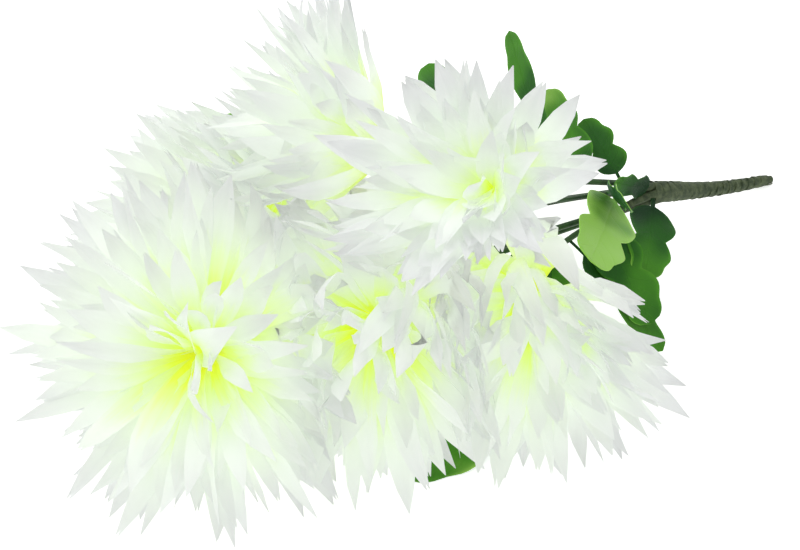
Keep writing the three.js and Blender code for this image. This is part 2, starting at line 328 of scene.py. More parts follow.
def clothWeaveGroup():
    # over-and-under threads, from a surface's own UV map and the number of threads each way
    group, given, result = newGroup(
        "cloth weave",
        [("UV", "NodeSocketVector", None), ("Threads across", "NodeSocketFloat", 40.0),
         ("Threads along", "NodeSocketFloat", 240.0)],
        [("Height", "NodeSocketFloat")],
    )
    split = node(group, "ShaderNodeSeparateXYZ", {0: given.outputs["UV"]})
    ridges = []
    for axis, count in (("X", "Threads across"), ("Y", "Threads along")):
        turns = sums(group, "MULTIPLY", split.outputs[axis], given.outputs[count])
        ridges.append(sums(group, "SINE", sums(group, "MULTIPLY", turns, 2 * math.pi)))
    group.links.new(sums(group, "MULTIPLY", *ridges), result.inputs["Height"])
    return group


def streaksGroup():
    # long soft streaks that run from root to tip
    group, given, result = newGroup(
        "long streaks",
        [("UV", "NodeSocketVector", None), ("Seed", "NodeSocketFloat", 0.0),
         ("Across", "NodeSocketFloat", 9.0), ("Along", "NodeSocketFloat", 1.2)],
        [("Mask", "NodeSocketFloat")],
    )
    stretch = node(group, "ShaderNodeCombineXYZ",
                   {0: given.outputs["Across"], 1: given.outputs["Along"], 2: 1.0})
    moved = node(group, "ShaderNodeVectorMath", {0: given.outputs["UV"], 1: stretch.outputs[0]},
                 operation="MULTIPLY")
    noise = node(group, "ShaderNodeTexNoise",
                 {"Vector": moved.outputs[0], "W": given.outputs["Seed"], "Scale": 1.0, "Detail": 3.0},
                 noise_dimensions="4D")
    group.links.new(noise.outputs["Fac"], result.inputs["Mask"])
    return group


weave = clothWeaveGroup()
streaks = streaksGroup()

petalLook = {
    "colours": (  # from the root to the tip
        (0.0, (0.88, 0.91, 0.12)),
        (0.09, (0.875, 0.94, 0.20)),
        (0.22, (0.87, 0.945, 0.46)),
        (0.40, (0.875, 0.94, 0.75)),
        (0.62, (0.89, 0.92, 0.885)),
        (0.88, (0.85, 0.86, 0.86)),
        (1.0, (0.82, 0.825, 0.83)),
    ),
    "paintedLight": (  # painted light: a glow that lifts the shade between the petals, yellow at the root in place of light bounced in the throat, strongest at the root
        (0.0, (0.30, 0.32, 0.02)),
        (0.10, (0.28, 0.315, 0.04)),
        (0.26, (0.25, 0.29, 0.12)),
        (0.60, (0.235, 0.25, 0.225)),
        (0.88, (0.18, 0.185, 0.18)),
        (1.0, (0.13, 0.135, 0.13)),
    ),
    "spread": 0.42,  # how far a petal's own tone moves the green up or down it
    "cloudiness": 0.26,
    "paintedShadePit": (0.16, 0.13, 0.02),  # painted shade: the dark of the deep hole at the bottom of the throat
    "innerPale": 0.22,  # how much of the tips' grey the inner petals lack; that grey is partly the cloth's own tone and partly painted shade, darker on the outer petals along the bunch's outline
    "paleEnd": 3.0,  # the higher, the closer that stays to the tips
    "seeds": 40.0,  # how far apart the streaks of two petals are taken
    "through": 0.36,  # share of the light that passes through
    "roughness": 0.62,
    "specular": 0.25,
    "sheen": 0.1,
    "streakDepth": 0.00025,
    "streakStrength": 0.6,
    "weaveDepth": 0.00003,
}


def petalMaterial():
    look = petalLook
    material, tree = newMaterial("petal cloth")
    material.cycles.emission_sampling = "NONE"
    uv = node(tree, "ShaderNodeTexCoord").outputs["UV"]
    toneAndShade = attribute(tree, "toneAndShade")
    along = node(tree, "ShaderNodeSeparateXYZ", {0: uv}).outputs["Y"]
    # painted shade: only the outer petals keep the full grey at their tips, so the bunch's outline reads
    # darker
    inner = sums(tree, "SUBTRACT", 1.0, attribute(tree, "outer"))
    short = sums(tree, "MULTIPLY", sums(tree, "MULTIPLY", inner, look["innerPale"]),
                 sums(tree, "POWER", along, look["paleEnd"]))
    along = sums(tree, "SUBTRACT", along, short)
    streak = grouped(tree, streaks, UV=uv, Seed=sums(tree, "MULTIPLY", toneAndShade, look["seeds"]))
    toneShift = sums(tree, "MULTIPLY", sums(tree, "SUBTRACT", toneAndShade, 0.5), look["spread"])
    toneShift = sums(tree, "MULTIPLY", toneShift, sums(tree, "SUBTRACT", 1.0, along))
    cloud = sums(tree, "MULTIPLY", sums(tree, "SUBTRACT", streak, 0.5), look["cloudiness"])
    place = sums(tree, "ADD", sums(tree, "ADD", along, toneShift), cloud)
    # painted shade in the deep hole at the bottom of the throat
    paintedShadePit = attribute(tree, "paintedShadePit")
    colour = blended(tree, paintedShadePit, ramp(tree, place, look["colours"]), look["paintedShadePit"])
    # painted light: the petals glow as if lit, except in the pit
    paintedLight = blended(tree, paintedShadePit, ramp(tree, place, look["paintedLight"]), (0, 0, 0))
    threads = grouped(tree, weave, UV=uv)
    grain = node(tree, "ShaderNodeBump",
                 {"Height": threads, "Distance": look["weaveDepth"], "Strength": 1.0})
    folds = node(tree, "ShaderNodeBump",
                 {"Height": streak, "Distance": look["streakDepth"], "Strength": look["streakStrength"],
                  "Normal": grain.outputs[0]})
    cloth = node(tree, "ShaderNodeBsdfPrincipled",
                 {"Base Color": colour, "Roughness": look["roughness"],
                  "Specular IOR Level": look["specular"], "Sheen Weight": look["sheen"],
                  "Emission Color": paintedLight, "Emission Strength": 1.0, "Normal": folds.outputs[0]})
    letThrough(tree, look["through"], cloth, Color=colour, Normal=folds.outputs[0])
    return material


leafLook = {
    "top": (  # from the darkest green to the palest, along which the leaves' print and their painted light and shade run
        (0.0, (0.006, 0.045, 0.010)),
        (0.3, (0.022, 0.125, 0.012)),
        (0.6, (0.075, 0.29, 0.018)),
        (1.0, (0.34, 0.66, 0.11)),
    ),
    "under": (0.045, 0.17, 0.075),
    "paler": {  # how much each of these makes the leaf paler: blots and veins are its print, tone paints how lit each leaf is, tip paints shade that darkens it towards its root, and rim makes it paler at its rims
        "blots": 1.1, "toneAndShade": 0.6, "veins": 0.02, "tip": 0.6, "rim": 0.25,
    },
    "darker": 0.72,  # everywhere
    "blotScale": 30.0,
    "rimSharpness": 9.0,
    "sideVeins": 8,
    "veinSlant": 0.35,
    "veinSharpness": 14.0,
    "sideHeight": 0.55,  # of a side vein, next to the rib
    "ribSharpness": 26.0,
    "veinDepth": 0.0003,
    "veinStrength": 0.7,
    "threadsAcross": 90.0,
    "threadsAlong": 190.0,
    "weaveDepth": 0.00002,
    "roughness": (0.3, 0.5),
    "specular": 0.2,
    "through": 0.12,
}


def leafMaterial():
    look = leafLook
    material, tree = newMaterial("printed leaf with painted shade")
    uv = node(tree, "ShaderNodeTexCoord").outputs["UV"]
    split = node(tree, "ShaderNodeSeparateXYZ", {0: uv})
    aside = sums(tree, "ABSOLUTE", sums(tree, "SUBTRACT", split.outputs["X"], 0.5))
    # side veins slant forwards from the rib
    slant = sums(tree, "SUBTRACT", split.outputs["Y"], sums(tree, "MULTIPLY", aside, look["veinSlant"]))
    wave = sums(tree, "SINE", sums(tree, "MULTIPLY", slant, 2 * math.pi * look["sideVeins"]))
    side = sums(tree, "POWER", sums(tree, "MAXIMUM", wave, 0.0), look["veinSharpness"])
    offRib = sums(tree, "MINIMUM", sums(tree, "MULTIPLY", aside, look["ribSharpness"]), 1.0)
    rib = sums(tree, "SUBTRACT", 1.0, offRib)
    veins = sums(tree, "MAXIMUM", sums(tree, "MULTIPLY", side, look["sideHeight"]), rib)
    blots = node(tree, "ShaderNodeTexNoise",
                 {"Vector": node(tree, "ShaderNodeTexCoord").outputs["Object"],
                  "Scale": look["blotScale"], "Detail": 1.0}).outputs["Fac"]
    rim = sums(tree, "POWER", sums(tree, "MULTIPLY", aside, 2.0), look["rimSharpness"])
    # painted light and shade: a leaf is paler the more lit it is meant to look, and darker towards its
    # root
    shade = sums(tree, "MULTIPLY", blots, look["paler"]["blots"])
    causes = {"toneAndShade": attribute(tree, "toneAndShade"), "veins": veins, "tip": split.outputs["Y"], "rim": rim}
    for cause, value in causes.items():
        shade = sums(tree, "ADD", shade, sums(tree, "MULTIPLY", value, look["paler"][cause]))
    shade = sums(tree, "SUBTRACT", shade, look["darker"])
    colour = blended(tree, attribute(tree, "under"), ramp(tree, shade, look["top"]), look["under"])
    bump = node(tree, "ShaderNodeBump",
                {"Height": veins, "Distance": look["veinDepth"], "Strength": look["veinStrength"]})
    bump.invert = True
    threads = grouped(tree, weave, UV=uv, Threads_across=look["threadsAcross"],
                      Threads_along=look["threadsAlong"])
    grain = node(tree, "ShaderNodeBump",
                 {"Height": threads, "Distance": look["weaveDepth"], "Strength": 1.0,
                  "Normal": bump.outputs[0]})
    least, most = look["roughness"]
    rough = node(tree, "ShaderNodeMapRange", {"Value": blots, "To Min": least, "To Max": most})
    leaf = node(tree, "ShaderNodeBsdfPrincipled",
                {"Base Color": colour, "Roughness": rough.outputs[0],
                 "Specular IOR Level": look["specular"], "Normal": grain.outputs[0]})
    letThrough(tree, look["through"], leaf, Color=colour)
    return material


skins = {  # moulded plastic or waxed tape: two tones of one colour over a fine uneven skin
    "stem plastic": {
        "dark": (0.013, 0.042, 0.012), "light": (0.038, 0.10, 0.025), "scale": 160,
        "roughness": 0.45, "bumpDepth": 0.0002,
    },
    "grip tape": {
        "dark": (0.024, 0.044, 0.015), "light": (0.092, 0.122, 0.055), "scale": 300,
        "roughness": 0.7, "bumpDepth": 0.0004,
    },
}


def skinMaterial(name):
    look = skins[name]
    material, tree = newMaterial(name)
    place = node(tree, "ShaderNodeTexCoord").outputs["Object"]
    patches = node(tree, "ShaderNodeTexNoise",
                   {"Vector": place, "Scale": look["scale"], "Detail": 5.0, "Roughness": 0.6})
    fine = node(tree, "ShaderNodeTexNoise",
                {"Vector": place, "Scale": look["scale"] * 9, "Detail": 2.0})
    colour = ramp(tree, patches.outputs["Fac"], ((0.3, look["dark"]), (0.7, look["light"])))
    rough = node(tree, "ShaderNodeMapRange",
                 {"Value": patches.outputs["Fac"], "To Min": look["roughness"] - 0.08,
                  "To Max": look["roughness"] + 0.12})
    bump = node(tree, "ShaderNodeBump",
                {"Height": fine.outputs["Fac"], "Distance": look["bumpDepth"], "Strength": 0.8})
    skin = node(tree, "ShaderNodeBsdfPrincipled",
                {"Base Color": colour, "Roughness": rough.outputs[0], "Specular IOR Level": 0.4,
                 "Normal": bump.outputs[0]})
    node(tree, "ShaderNodeOutputMaterial", {"Surface": skin.outputs[0]})
    return material


petalCloth = petalMaterial()
leafPrintAndShade = leafMaterial()
stemPlastic = skinMaterial("stem plastic")
gripPaper = skinMaterial("grip tape")
print("materials made")

# petals

petal = {
    "length": 0.087,
    "half": 0.0072,
    "thickness": 0.00022,
    "columns": 4,
    "gutter": 0.2,  # depth of the fold at the keel, next to the half-width
    "folds": ((0, 1), (0.5, 0.55)),  # share of that depth at the keel and halfway to the rims
    "shapes": {  # half-widths from root to tip, how far the tip's middle is cut in, share of all
        "plain": ((0.24, 0.44, 0.66, 0.86, 1.0, 0.98, 0.62, 0.03), 0, 0.4),
        "narrow": ((0.22, 0.38, 0.56, 0.72, 0.84, 0.82, 0.52, 0.03), 0, 0.2),
        "broad": ((0.28, 0.52, 0.78, 1.0, 1.12, 1.06, 0.68, 0.04), 0, 0.25),
        "notched": ((0.24, 0.46, 0.68, 0.88, 1.0, 1.0, 0.70, 0.16), 0.035, 0.15),
    },
}


def isInner(vertex, rows):
    row, column = divmod(vertex.index, petal["columns"] + 1)
    return 0 < column < petal["columns"] and 0 < row < rows


def petalBlank(name):
    outline, notch, _ = petal["shapes"][name]
    rows = len(outline) - 1
    blank = grid(petal["columns"], rows)
    blank.name = name + " petal"
    bpy.ops.object.mode_set(mode="EDIT")
    sinkColumns(blank, petal["gutter"], petal["folds"])
    for row, wide in enumerate(outline):
        taperRow(blank, row, rows, wide)
    if notch:
        selectVertices(blank, lambda co: abs(co.x) < near and co.y > 1 - near)
        bpy.ops.transform.translate(value=(0, -2 * notch, 0))
    toSize(blank, petal["half"], petal["length"])
    inner = blank.vertex_groups.new(name="inner")  # the rims stay sharp
    inner.add([vertex.index for vertex in blank.data.vertices if isInner(vertex, rows)], 1, "REPLACE")
    applied(blank, "SOLIDIFY", thickness=petal["thickness"], offset=0, vertex_group="inner")
    bpy.ops.object.mode_set(mode="EDIT")
    bpy.ops.mesh.select_all(action="SELECT")
    bpy.ops.mesh.remove_doubles(threshold=1e-6)
    bpy.ops.object.mode_set(mode="OBJECT")
    blank.select_set(False)
    return blank


blanks = {name: petalBlank(name) for name in petal["shapes"]}
blankPlaces = {name: coordinatesOf(blank) for name, blank in blanks.items()}
print("petal shapes made, faces in each:", [len(blank.data.polygons) for blank in blanks.values()])

head = {
    "petals": 155,  # of a head that opens flat
    "fewest": 0.75,  # share of them that a narrow head has
    "reach": 0.096,
    "innermost": 23,  # degrees from the head's axis
    "outer": 1.1,  # radians from the axis at which petals are at their most open
    "root": 0.008,  # radius at which a petal starts
    "steps": 21,
    "bend": (0.5, -0.25),  # radians that a petal bends by, and how much that changes outwards
    "bendMiddle": 0.45,  # place along a petal where its slope is its own angle
    "swayMiddle": 0.3,
    "shorter": 0.1,  # how much of its length an inner petal lacks
    "gutter": 0.95,
    "length": 0.945,
    "width": 0.84,
    "ripple": 0.0024,
    "ripples": (9, 7),  # radians of it along a petal, and how far each petal's own is shifted
    "vary": {  # the most that one petal differs from what all have
        "bearing": 0.12, "angle": 0.13, "bend": 0.38, "curl": 0.68, "sway": 0.4, "twist": 0.95,
        "gutter": 0.65, "length": 0.14, "width": 0.24, "ripple": 1,
    },
    "tufts": 9,  # neighbouring petals lean together in about this many tufts round a head
    "gather": 0.09,
    "tuftTurn": 5,  # how far the tufts turn from the innermost petals to the outermost
    "lap": 0.013,  # how far petals of neighbouring heads may reach between each other
    "softness": 0.024,  # distance over which a petal turns aside from what it would press against
    "loose": 0.009,  # how much that differs from petal to petal
    "give": 0.75,
    "clearance": 0.002,
    "groundClearance": 0.0012,
    "forwards": {  # how strongly a petal that is barred turns to the way its head faces
        "head": 0.7, "leaves": 0.5, "ground": 0.25,
    },
    "flatWithin": 0.8,  # of a petal's half-width, where it lies flat against what it meets
    "room": 0.0003,  # by which a petal clears what it meets, for each step from its root
    "freeSteps": 3,  # after which it also keeps off the stems
    "stemRoom": 0.003,
    "stemPoints": 25,
    "lowest": 0.0003,
    "piled": 0.05,  # share of its depth that a petal's part below the ground keeps
    "outerFrom": 0.4,  # share of the petals after which the outer ones start, and over which they fade in
}


def partings(name):
    planes = []
    own = headPlace(name)[0]
    for other in heads:
        if other == name:
            continue
        theirs = headPlace(other)[0]
        normal = unit(theirs - own)
        for over, under, lean in laps:
            if (over, under) == (other, name):
                normal = normal + np.array(bunch["lapSide"]) * lean
            if (over, under) == (name, other):
                normal = normal - np.array(bunch["lapSide"]) * lean
        normal = unit(normal)
        limit = (own + theirs) / 2 @ normal + head["lap"]
        planes.append((normal, limit, head["clearance"], head["forwards"]["head"], 1))
    planes.append((np.array((0, 0, -1.0)), 0, head["groundClearance"], head["forwards"]["ground"], 0))
    pressed = heads[name].get("pressed")
    if pressed:
        normal = unit(pressed["from"])
        limit = own @ normal + pressed["room"] * mm
        planes.append((normal, limit, head["clearance"], head["forwards"]["leaves"], 1))
    return planes


def layPetals(name):
    centre, axis, side, up = headPlace(name)
    here = heads[name]
    random = np.random.default_rng(here["seed"])
    count = round(head["petals"] * max(head["fewest"], 1 - math.cos(math.radians(here["opens"]))))

    def spread(what):
        amount = head["vary"][what]
        return random.uniform(-amount, amount, count)[:, None]

    index = np.arange(count)[:, None]
    nearest, furthest = math.cos(math.radians(head["innermost"])), math.cos(math.radians(here["opens"]))
    angle = np.arccos(nearest + (furthest - nearest) * (index + 0.5) / count)
    openness = np.clip(angle / head["outer"], 0, 1)
    openness = openness ** 2 * (3 - 2 * openness)
    bearing = index * math.pi * (3 - math.sqrt(5)) + spread("bearing")
    bearing = bearing + head["gather"] * np.sin(bearing * head["tufts"] + angle * head["tuftTurn"])
    for way in here.get("held", ()):
        toward = (side * np.cos(bearing) + up * np.sin(bearing)) @ way
        angle = angle * (1 - np.maximum(toward, 0)[:, None])
    angle = angle + spread("angle")
    bend = head["bend"][0] + head["bend"][1] * openness + spread("bend")
    curl = spread("curl")  # of the tip
    sway = spread("sway")
    twist = spread("twist")
    gutter = head["gutter"] + spread("gutter")
    grown = 1 - head["shorter"] + head["shorter"] * openness
    reach = head["reach"] * here["size"] * grown - head["root"]
    length = reach * (head["length"] + spread("length"))
    width = head["width"] + spread("width")
    ripple = spread("ripple")
    loose = head["loose"] * random.uniform(-1, 1, count)
    planes = [(normal, limit + give * loose, clearance, forwards, 1 - head["give"] * give)
              for normal, limit, clearance, forwards, give in partings(name)]
    posts = np.array([stemPoint(other, s) for other in heads if other != name
                      for s in np.linspace(0, 1, head["stemPoints"])])

    def turnedAt(s):
        turn = bearing + sway * (s - head["swayMiddle"])
        turned = angle + bend * (s - head["bendMiddle"]) + curl * s**3
        return turned, side * np.cos(turn) + up * np.sin(turn)

    def way(s):
        turned, outwards = turnedAt(s)
        return axis * np.cos(turned) + outwards * np.sin(turned)

    steps = head["steps"]
    at = centre + way(0) * head["root"]
    along = way(0)
    rows = []
    for k in range(steps + 1):
        s = k / steps
        turned, outwards = turnedAt(s)
        face = axis * np.sin(turned) - outwards * np.cos(turned)
        face = face * np.cos(twist * s) + np.cross(along, face) * np.sin(twist * s)
        for normal, limit, _, _, flat in planes:  # a petal that comes close to one lies flat there
            within = petal["half"] * head["flatWithin"]
            lean = flat * np.clip(1 - (limit - at @ normal)[:, None] / within, 0, 1)
            face = face * (1 - lean) + lean * normal * np.where(face @ normal < 0, -1, 1)[:, None]
        across = unit(np.cross(along, face))
        face = np.cross(across, along)
        rows.append((at, across, face))
        step = length / steps
        heading = way(s)
        for normal, limit, clearance, forwards, _ in planes:
            toward = np.maximum(heading @ normal, 0)
            free = np.clip((limit - clearance - at @ normal) / head["softness"], 0, 1)
            barred = (toward * (1 - free))[:, None]
            heading = heading - normal * barred + (axis - normal * (axis @ normal)) * forwards * barred
        ahead = at + unit(heading) * step
        room = head["room"] * k
        for normal, limit, clearance, _, _ in planes:
            over = ahead @ normal - limit + min(clearance, room)
            ahead = ahead - normal * np.maximum(over, 0)[:, None]
        if k > head["freeSteps"]:
            away = ahead[:, None] - posts
            distance = np.linalg.norm(away, axis=2)
            short = np.maximum(bunch["stemRadius"] * mm + head["stemRoom"] + room - distance, 0)
            ahead = ahead + np.sum(away / distance[..., None] * short[..., None], axis=1)
        along = unit(ahead - at)
        at = at + along * step

    ats, acrosses, faces = (np.stack([row[i] for row in rows]) for i in range(3))
    shares = [shape[2] for shape in petal["shapes"].values()]
    names = random.choice(list(petal["shapes"]), count, p=shares)
    made = []
    for i in range(count):
        flat = blankPlaces[names[i]]
        placed = np.clip(flat[:, 1] / petal["length"], 0, 1) * steps
        low = np.minimum(placed.astype(int), steps - 1)
        part = (placed - low)[:, None]

        def between(values):
            return values[low, i] * (1 - part) + values[low + 1, i] * part

        waves, start = head["ripples"]
        phase = flat[:, 1] / petal["length"] * waves + ripple[i] * start
        wave = ripple[i] * head["ripple"] * np.sin(phase)
        lifted = flat[:, 2] * width[i] * gutter[i] + wave * flat[:, 0] / petal["half"]
        places = (between(ats) + between(acrosses) * (flat[:, 0] * width[i])[:, None]
                  + between(faces) * lifted[:, None])
        heights = places[:, 2]
        beneath = heights < head["lowest"]
        sunk = heights[beneath] - heights[beneath].min(initial=0)
        places[beneath, 2] = head["lowest"] + head["piled"] * sunk
        made.append(laidCopy(blanks[names[i]], places, random.uniform(0, 1)))
        marked(made[-1], "outer", np.clip((i / count - head["outerFrom"]) / head["outerFrom"], 0, 1))
    return made


core = {
    "radius": 0.0098,
    "bumps": 0.08,
    "waves": (1900, 1700, 1500),
    "green": (0.32, -0.45, 0.7),  # place on the petals' ramp at its side, change to its front, and most
    "paintedShadePit": (0.88, 0.08),  # how far forwards the painted shade of the throat's deep hole starts, and over how much
}


def coreOf(name):
    bpy.ops.mesh.primitive_ico_sphere_add(subdivisions=3, radius=core["radius"], calc_uvs=True)
    ball = bpy.context.object
    places = coordinatesOf(ball)
    centre, axis, _, _ = headPlace(name)
    first, second, third = core["waves"]
    bumps = (1 + core["bumps"] * np.sin(places[:, :1] * first)
             * np.sin(places[:, 1:2] * second + places[:, 2:] * third))
    moveTo(ball, places * bumps + centre)
    forwards = places @ axis / core["radius"]
    atSide, change, most = core["green"]
    for loop, uv in zip(ball.data.loops, ball.data.uv_layers.active.data):
        uv.uv = (0.5, min(max(atSide + change * forwards[loop.vertex_index], 0), most))
    # painted shade on the core's front, where the throat's deep hole is
    paintedShadeStart, paintedShadeFade = core["paintedShadePit"]
    marked(ball, "toneAndShade", 0.5)
    marked(ball, "outer", 0)
    marked(ball, "paintedShadePit", np.clip((forwards - paintedShadeStart) / paintedShadeFade, 0, 1))
    return ball


for name in heads:
    bloom = joined("petals_" + name, layPetals(name) + [coreOf(name)])
    smoothed(bloom, 70)
    finished(bloom, petalCloth, "petals", "bloom_" + name)
    print("head", name, "faces:", len(bloom.data.polygons))
for blank in blanks.values():
    bpy.data.objects.remove(blank)

# stems, with the cup under each head

stalk = {
    "radius": bunch["stemRadius"] * mm,
    "bends": 40,  # pieces of its curve
    "cupFoot": 0.0022,  # radius at its bottom
    "cupSides": 20,
    "cup": ((0.12, 1.35), (0.3, 1.5), (0.3, 1.25), (0.28, 1.08)),  # share of its length, times as wide
    "bracts": 9,
    "bractLength": 0.0165,
    "bractHalf": 0.0034,
    "bractThickness": 0.0005,
    "bractShape": (0.7, 0.95, 1.0, 0.85, 0.5, 0.05),
    "bractSag": 0.5,
    "bractCrease": 0.25,
    "bractLean": 0.42,
    "bractUp": (0.0022, 0.0035),  # how far up the cup the first layer starts, and each next one more
    "bractOut": (0.0030, 0.0014),
}


def bractBlank():
    rows = len(stalk["bractShape"]) - 1
    blank = grid(4, rows)
    bpy.ops.object.mode_set(mode="EDIT")
    for row, wide in enumerate(stalk["bractShape"]):
        taperRow(blank, row, rows, wide)
        bpy.ops.transform.translate(value=(0, 0, -stalk["bractSag"] * (row / rows) ** 2))
    selectVertices(blank, lambda co: abs(co.x) < 5 * near)  # also next to the middle at the narrow tip
    bpy.ops.transform.translate(value=(0, 0, stalk["bractCrease"]))
    toSize(blank, stalk["bractHalf"], stalk["bractLength"])
    applied(blank, "SOLIDIFY", thickness=stalk["bractThickness"], offset=0)
    blank.select_set(False)
    return blank


bract = bractBlank()
bractPlaces = coordinatesOf(bract)


def stalkOf(name):
    start, startHandle, endHandle, end = stemHandles(name)
    bpy.ops.curve.primitive_bezier_curve_add()
    tube = bpy.context.object
    points = tube.data.splines[0].bezier_points
    for point, places in zip(points, ((start - (startHandle - start), start, startHandle),
                                      (endHandle, end, end + (end - endHandle)))):
        point.handle_left_type = point.handle_right_type = "FREE"
        point.handle_left, point.co, point.handle_right = places
    tube.data.bevel_depth = stalk["radius"]
    tube.data.bevel_resolution = 3
    tube.data.resolution_u = stalk["bends"]
    tube.data.use_fill_caps = True
    bpy.ops.object.convert(target="MESH")
    tube = bpy.context.object
    tube.select_set(False)
    return tube


def cupOf(name):
    centre, axis, side, up = headPlace(name)
    length = bunch["cupLength"] * mm
    foot = centre - axis * (bunch["cupTop"] + bunch["cupLength"]) * mm
    bpy.ops.mesh.primitive_cylinder_add(vertices=stalk["cupSides"], radius=stalk["cupFoot"], depth=mm,
                                        calc_uvs=True)
    cup = bpy.context.object
    bpy.ops.object.mode_set(mode="EDIT")
    for height, wide in stalk["cup"]:
        top = max(vertex.co.z for vertex in bmesh.from_edit_mesh(cup.data).verts)
        selectVertices(cup, lambda co: co.z > top - 1e-6)
        bpy.ops.mesh.extrude_region_move(TRANSFORM_OT_translate={"value": (0, 0, height * length)})
        bpy.ops.transform.resize(value=(wide, wide, 1), center_override=(0, 0, 0))
    bpy.ops.object.mode_set(mode="OBJECT")
    places = coordinatesOf(cup)
    moveTo(cup, foot + places[:, :1] * side + places[:, 1:2] * up + places[:, 2:] * axis)
    cup.select_set(False)
    made = [cup]
    for layer in range(2):
        for i in range(stalk["bracts"]):
            angle = 2 * math.pi * (i + 0.5 * layer) / stalk["bracts"]
            out = side * math.cos(angle) + up * math.sin(angle)
            along = unit(axis + out * stalk["bractLean"])
            across = unit(np.cross(along, out))
            face = np.cross(across, along)
            root = (foot + axis * (stalk["bractUp"][0] + stalk["bractUp"][1] * layer)
                    + out * (stalk["bractOut"][0] + stalk["bractOut"][1] * layer))
            places = (root + bractPlaces[:, :1] * across + bractPlaces[:, 1:2] * along
                      + bractPlaces[:, 2:] * face)
            made.append(laidCopy(bract, places, 0.5))
    return made


for name in heads:
    stem = joined("stalk_" + name, [stalkOf(name), *cupOf(name)])
    smoothed(stem, 50)
    finished(stem, stemPlastic, "foliage", "stem_" + name)
bpy.data.objects.remove(bract)
print("stems and cups made")

# leaves

leafShape = {
    "half": 0.013,
    "length": 0.06,
    "columns": 6,
    "rows": 34,
    "petiole": 0.085,  # half-width of the leaf's own stalk, next to the leaf's
    "tip": 0.03,  # half-width there
    "thickness": 0.0005,
    "fold": 0.16,
    "folds": ((0, 1), (1 / 3, 0.6), (2 / 3, 0.25)),  # share of that depth from the rib to the rim
    "arch": 0.14,
    "wave": 0.0012,  # of the rims
    "waves": (17, 6),  # how many radians of it along a leaf, and how far its tone moves that
    "lowest": 0.0002,
    "piled": 0.2,  # share of its depth that a leaf's part below the ground keeps
    "merge": 7,  # the higher, the sharper the notches between lobes
    "lobes": (  # middle and half-length along the leaf, and half-width next to the widest's
        (0.36, 0.205, 0.97), (0.68, 0.19, 0.92), (0.86, 0.14, 0.68),
    ),
}

# stem, how far along it, tip, the way the leaf looks, half-width, tone (painted light and shade: how lit
# the leaf is), a point its rib bends towards
leaves = (
    ("top", 0.24, (83, -14, 112), (0.1, -0.6, 0.8), 17, 1.3, None),
    ("right", 0.1, (117, 18, 46), (0.3, -0.5, 0.8), 14, 0.1, None),
    ("right", 0.44, (120, -5, 38), (0.2, -0.4, 0.9), 14, 0.25, None),
    ("right", 0.6, (127, -12, 22), (0.3, -0.3, 0.9), 9, 0.5, None),
    ("right", 0.84, (-8, -71, 1.4), (0, -0.1, 1), 15, 0.5, (48, -58, -7)),
    ("top", 0.05, (101, 56, 76), (0.2, -0.8, 0.6), 7, 0.0, None),
    ("top", 0.3, (102, 20, 112), (0.4, -0.4, 0.8), 9, 0.5, None),
    ("back", 0.18, (88, 104, 66), (0.2, -0.4, 0.9), 10, 0.4, None),
    ("back", 0.32, (70, 128, 60), (-0.1, -0.4, 0.9), 10, 0.7, None),
    ("back", 0.46, (50, 160, 70), (-0.2, -0.4, 0.9), 7, 0.3, None),
    ("back", 0.8, (6, 124, 88), (-0.1, -0.3, 0.95), 12, 0.3, None),
    ("far_left", 0.45, (36, 112, 28), (0.1, 0.2, 0.95), 14, 0.4, None),
    ("far_left", 0.9, (-102, 116, 54), (-0.3, 0.1, 0.95), 14, 0.6, None),
    ("left", 0.3, (76, 12, 16), (0.1, -0.2, 0.95), 13, 0.3, None),
    ("left", 0.62, (-38, 42, 28), (-0.2, 0.3, 0.9), 13, 0.3, None),
    ("front", 0.4, (40, -14, 24), (0.1, -0.3, 0.95), 13, 0.4, None),
)


def lobeWidth(s):
    merge, lobes = leafShape["merge"], leafShape["lobes"]
    widths = [wide * math.sqrt(max(1 - ((s - middle) / reach) ** 2, 0))
              for middle, reach, wide in lobes]
    rounds = sum(width ** merge for width in widths) ** (1 / merge)
    return max(rounds, leafShape["petiole"] if s < lobes[0][0] else leafShape["tip"])


def leafBlank():
    rows = leafShape["rows"]
    blank = grid(leafShape["columns"], rows)
    bpy.ops.object.mode_set(mode="EDIT")
    sinkColumns(blank, leafShape["fold"], leafShape["folds"])
    for row in range(rows + 1):
        taperRow(blank, row, rows, lobeWidth(row / rows))
    toSize(blank, leafShape["half"], leafShape["length"])
    applied(blank, "SOLIDIFY", thickness=leafShape["thickness"], offset=0)
    under = blank.data.attributes.new("under", "FLOAT", "FACE")
    isUnder = [1.0 if face.normal.z < -0.2 else 0.0 for face in blank.data.polygons]
    under.data.foreach_set("value", isUnder)
    blank.select_set(False)
    return blank


leafFlat = leafBlank()
leafPlaces = coordinatesOf(leafFlat)


def layLeaf(stem, along, tip, looks, half, toneAndShade, via):
    root, tip, looks = stemPoint(stem, along), metres(tip), unit(looks)
    arch = leafShape["arch"] * np.linalg.norm(tip - root)
    middle = metres(via) if via else (root + tip) / 2 + looks * arch
    s = np.clip(leafPlaces[:, 1:2] / leafShape["length"], 0, 1)
    rib = root * (1 - s) ** 2 + middle * 2 * s * (1 - s) + tip * s * s
    way = unit((middle - root) * (1 - s) + (tip - middle) * s)
    across = unit(np.cross(way, looks))
    face = np.cross(across, way)
    scale = half * mm / leafShape["half"]
    waves, start = leafShape["waves"]
    wave = (leafShape["wave"] * np.sin(s * waves + toneAndShade * start)
            * (leafPlaces[:, :1] / leafShape["half"]) ** 2)
    places = rib + across * leafPlaces[:, :1] * scale + face * (leafPlaces[:, 2:] * scale + wave)
    height = leafPlaces[:, 2] - leafPlaces[:, 2].min()
    places[:, 2] = np.maximum(places[:, 2], leafShape["lowest"] + leafShape["piled"] * height)
    return laidCopy(leafFlat, places, toneAndShade)


